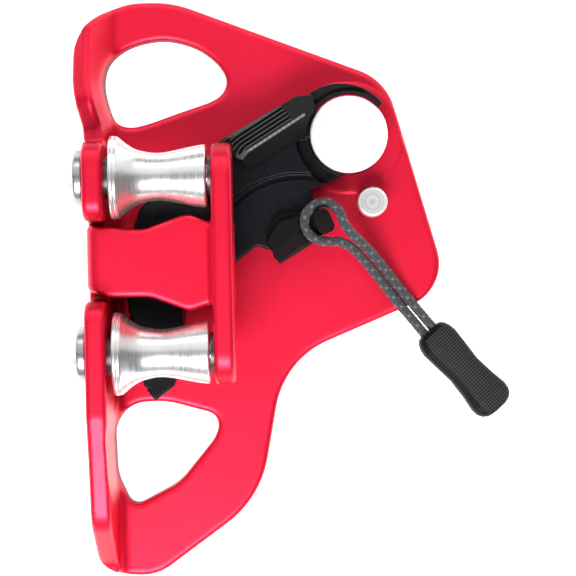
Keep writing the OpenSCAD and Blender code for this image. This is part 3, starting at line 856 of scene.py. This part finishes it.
def tube(name, path, radius, sides, mat, body, replaces, painted_light_or_tone=None):
    """Closed tube along a path; radius is a number or one value per ring and side."""
    tangent = np.gradient(path, axis=0)
    tangent /= np.linalg.norm(tangent, axis=1)[:, None]
    u = np.cross(tangent, (0, 0, 1.0))
    u /= np.linalg.norm(u, axis=1)[:, None]
    w = np.cross(u, tangent)
    theta = 2 * np.pi * np.arange(sides) / sides
    r = np.broadcast_to(radius, (len(path), sides))[..., None]
    cos, sin = np.cos(theta)[None, :, None], np.sin(theta)[None, :, None]
    verts = path[:, None] + r * (cos * u[:, None] + sin * w[:, None])
    faces = tube_faces(len(path), sides)
    return mesh_object(name, verts.reshape(-1, 3) * MM, faces, mat, body, replaces, painted_light_or_tone)


def tube_faces(rings, sides):
    """Quads between rings of points, and a cap at each end."""
    idx = np.arange(rings * sides).reshape(rings, sides)
    nxt = np.roll(idx, -1, axis=1)
    faces = np.stack([idx[:-1], nxt[:-1], nxt[1:], idx[1:]], axis=-1).reshape(-1, 4).tolist()
    return faces + [idx[0][::-1].tolist(), idx[-1].tolist()]


def braided_cord():
    """Cord whose yarns pass over and under each other, flecked by one paler yarn in three, and painted
    darker where the braid dips.
    """
    path, s = evenly(through(CORD_ROUTE, 40), 0.11)
    sides = 48
    lengthways, around = s[:, None] / STRAND_PITCH, STRANDS * np.arange(sides)[None, :] / sides / 2
    a, b = lengthways + around, lengthways - around
    lift_a, lift_b = 1 - saw(a), 1 - saw(b)
    over_a = (np.floor(a + 0.5) + np.floor(b + 0.5)) % 2 == 0
    height = 0.4 + 0.6 * np.where(over_a, lift_a, lift_b)
    height = height * np.minimum(1, 0.5 + np.maximum(lift_a, lift_b))
    yarn = np.where(over_a, 0.55, np.where(np.floor(b + 0.5) % 3 == 0, 0.95, 0.3))
    radius = CORD_D / 2 - BRAID_DEPTH * (1 - height)
    # Painted shade: darker where the braid's surface dips between yarns.
    shade = yarn * (0.35 + 0.65 * height)
    cord = tube("pull_cord_braid", path, radius, sides, cord_material(), "catch", ["pull_cord"],
                shade.ravel())


braided_cord()

# ---------------------------------------------------------------- cord grip
GRIP_AT, GRIP_TURN = (65.4, -17.6, 5.6), -49
# Stations of the grip: distance along its axis, half width, half height.
GRIP = [(0, 2.9, 2.7), (0.25, 3.6, 3.4), (1, 4.3, 3.95), (2.4, 4.85, 4.35), (4, 5.1, 4.55), (8, 4.8, 4.35),
        (13, 4.4, 4.15), (18, 4.8, 4.35), (22, 5.4, 4.55), (23.6, 5.25, 4.35), (24.8, 4.6, 3.9),
        (25.6, 3.6, 3.1), (26, 2.4, 2)]
GRIP_L, GRIP_SQUARENESS = GRIP[-1][0], 0.62
KNURL, KNURL_DEPTH, BORDER_DEPTH = 0.68, 0.17, 0.12


def grip(rings=230, sides=260):
    """Moulded handle with a waist, its front covered in a fine grid of square bumps."""
    ends = np.linspace(0, 1, 8)[1:-1]
    s = np.sort(np.concatenate([np.linspace(0, GRIP_L, rings), ends, GRIP_L - 1 + ends]))
    half_w, half_h = (np.interp(s, [g[0] for g in GRIP], [g[k] for g in GRIP]) for k in (1, 2))
    fine = np.linspace(0, 2 * np.pi, 4001)
    px, py = (np.sign(f) * np.abs(f) ** GRIP_SQUARENESS for f in (np.cos(fine), np.sin(fine)))
    along = np.concatenate([[0], np.cumsum(np.hypot(np.diff(px), np.diff(py)))])
    even = np.linspace(0, along[-1], sides, endpoint=False)
    cx, cy = np.interp(even, along, px), np.interp(even, along, py)
    v, w = half_w[:, None] * cx, half_h[:, None] * cy
    front = np.clip((cy[None, :] - 0.5) / 0.15, 0, 1) * np.clip((cx[None, :] + 0.62) / 0.08, 0, 1)
    front = front * np.clip((s[:, None] - 0.9) / 0.4, 0, 1) * np.clip((25.3 - s[:, None]) / 0.3, 0, 1)
    bumps = np.clip(2.6 * np.minimum(1 - saw(s[:, None] / KNURL), 1 - saw(v / KNURL)), 0, 1)
    border = np.exp(-((cx[None, :] + 0.7) / 0.04) ** 2) * (cy[None, :] > 0.3)
    scale = 1 - (KNURL_DEPTH * front * (1 - bumps) + BORDER_DEPTH * border) / 4.5
    t = math.radians(GRIP_TURN)
    x = GRIP_AT[0] + s[:, None] * math.cos(t) - v * scale * math.sin(t)
    y = GRIP_AT[1] + s[:, None] * math.sin(t) + v * scale * math.cos(t)
    verts = np.stack([x, y, GRIP_AT[2] + w * scale], axis=-1).reshape(-1, 3) * MM
    faces = [f[::-1] for f in tube_faces(len(s), sides)]
    # Painted highlight: the tops of the front's bumps are blended towards paler grey.
    mesh_object("moulded_grip", verts, faces, RUBBER, "catch", ["cord_grip"],
                (front * bumps ** 4).ravel())


grip()


# ---------------------------------------------------------------- springs and kept parts
def coil(name, at, r, wire, z0, z1, turns, body, node):
    """Spring of round wire, from one height to the other."""
    t = np.linspace(0, turns, int(turns * 64))
    path = np.stack([at[0] + r * np.cos(2 * np.pi * t), at[1] + r * np.sin(2 * np.pi * t),
                     z0 + (z1 - z0) * t / turns], axis=1)
    tube(name, path, wire, 20, SPRING, body, [node])


coil("cam_return_coil", PIVOT, 7.4, 0.6, 6.7, 10.5, 2.9, "cam", "cam_spring")
coil("catch_return_coil", CATCH_AT, 2.2, 0.3, 15.5, 16.3, 1.9, "catch", "catch_spring")
KEPT = {"pivot_washer": STEEL, "catch_pin": STEEL, "cam_bush": BRONZE, "upper_bush": BRONZE,
        "lower_bush": BRONZE, "upper_washer_left": WASHER_GAP_SHADE, "upper_washer_right": WASHER_GAP_SHADE,
        "lower_washer_left": WASHER_GAP_SHADE, "lower_washer_right": WASHER_GAP_SHADE}
for node, mat in KEPT.items():
    dress(node, mat)

# ---------------------------------------------------------------- floor
FLOOR_Z, FLOOR_HALF, FLOOR_GLOW = -0.3 * MM, 3, 0.85
FLOOR_CORNERS = [(-1, -1), (1, -1), (1, 1), (-1, 1)]
floor_mesh = bpy.data.meshes.new("floor")
floor_mesh.from_pydata([(FLOOR_HALF * x, FLOOR_HALF * y, FLOOR_Z) for x, y in FLOOR_CORNERS], [],
                       [(0, 1, 2, 3)])
floor_mat, _, floor_shader = material("floor", (0.96, 0.96, 0.96), 0.0, 0.9)
floor_shader.inputs["Emission Color"].default_value = (1, 1, 1, 1)
floor_shader.inputs["Emission Strength"].default_value = FLOOR_GLOW
floor_mesh.materials.append(floor_mat)
floor = bpy.data.objects.new("floor", floor_mesh)
scene.collection.objects.link(floor)

bpy.context.view_layer.update()
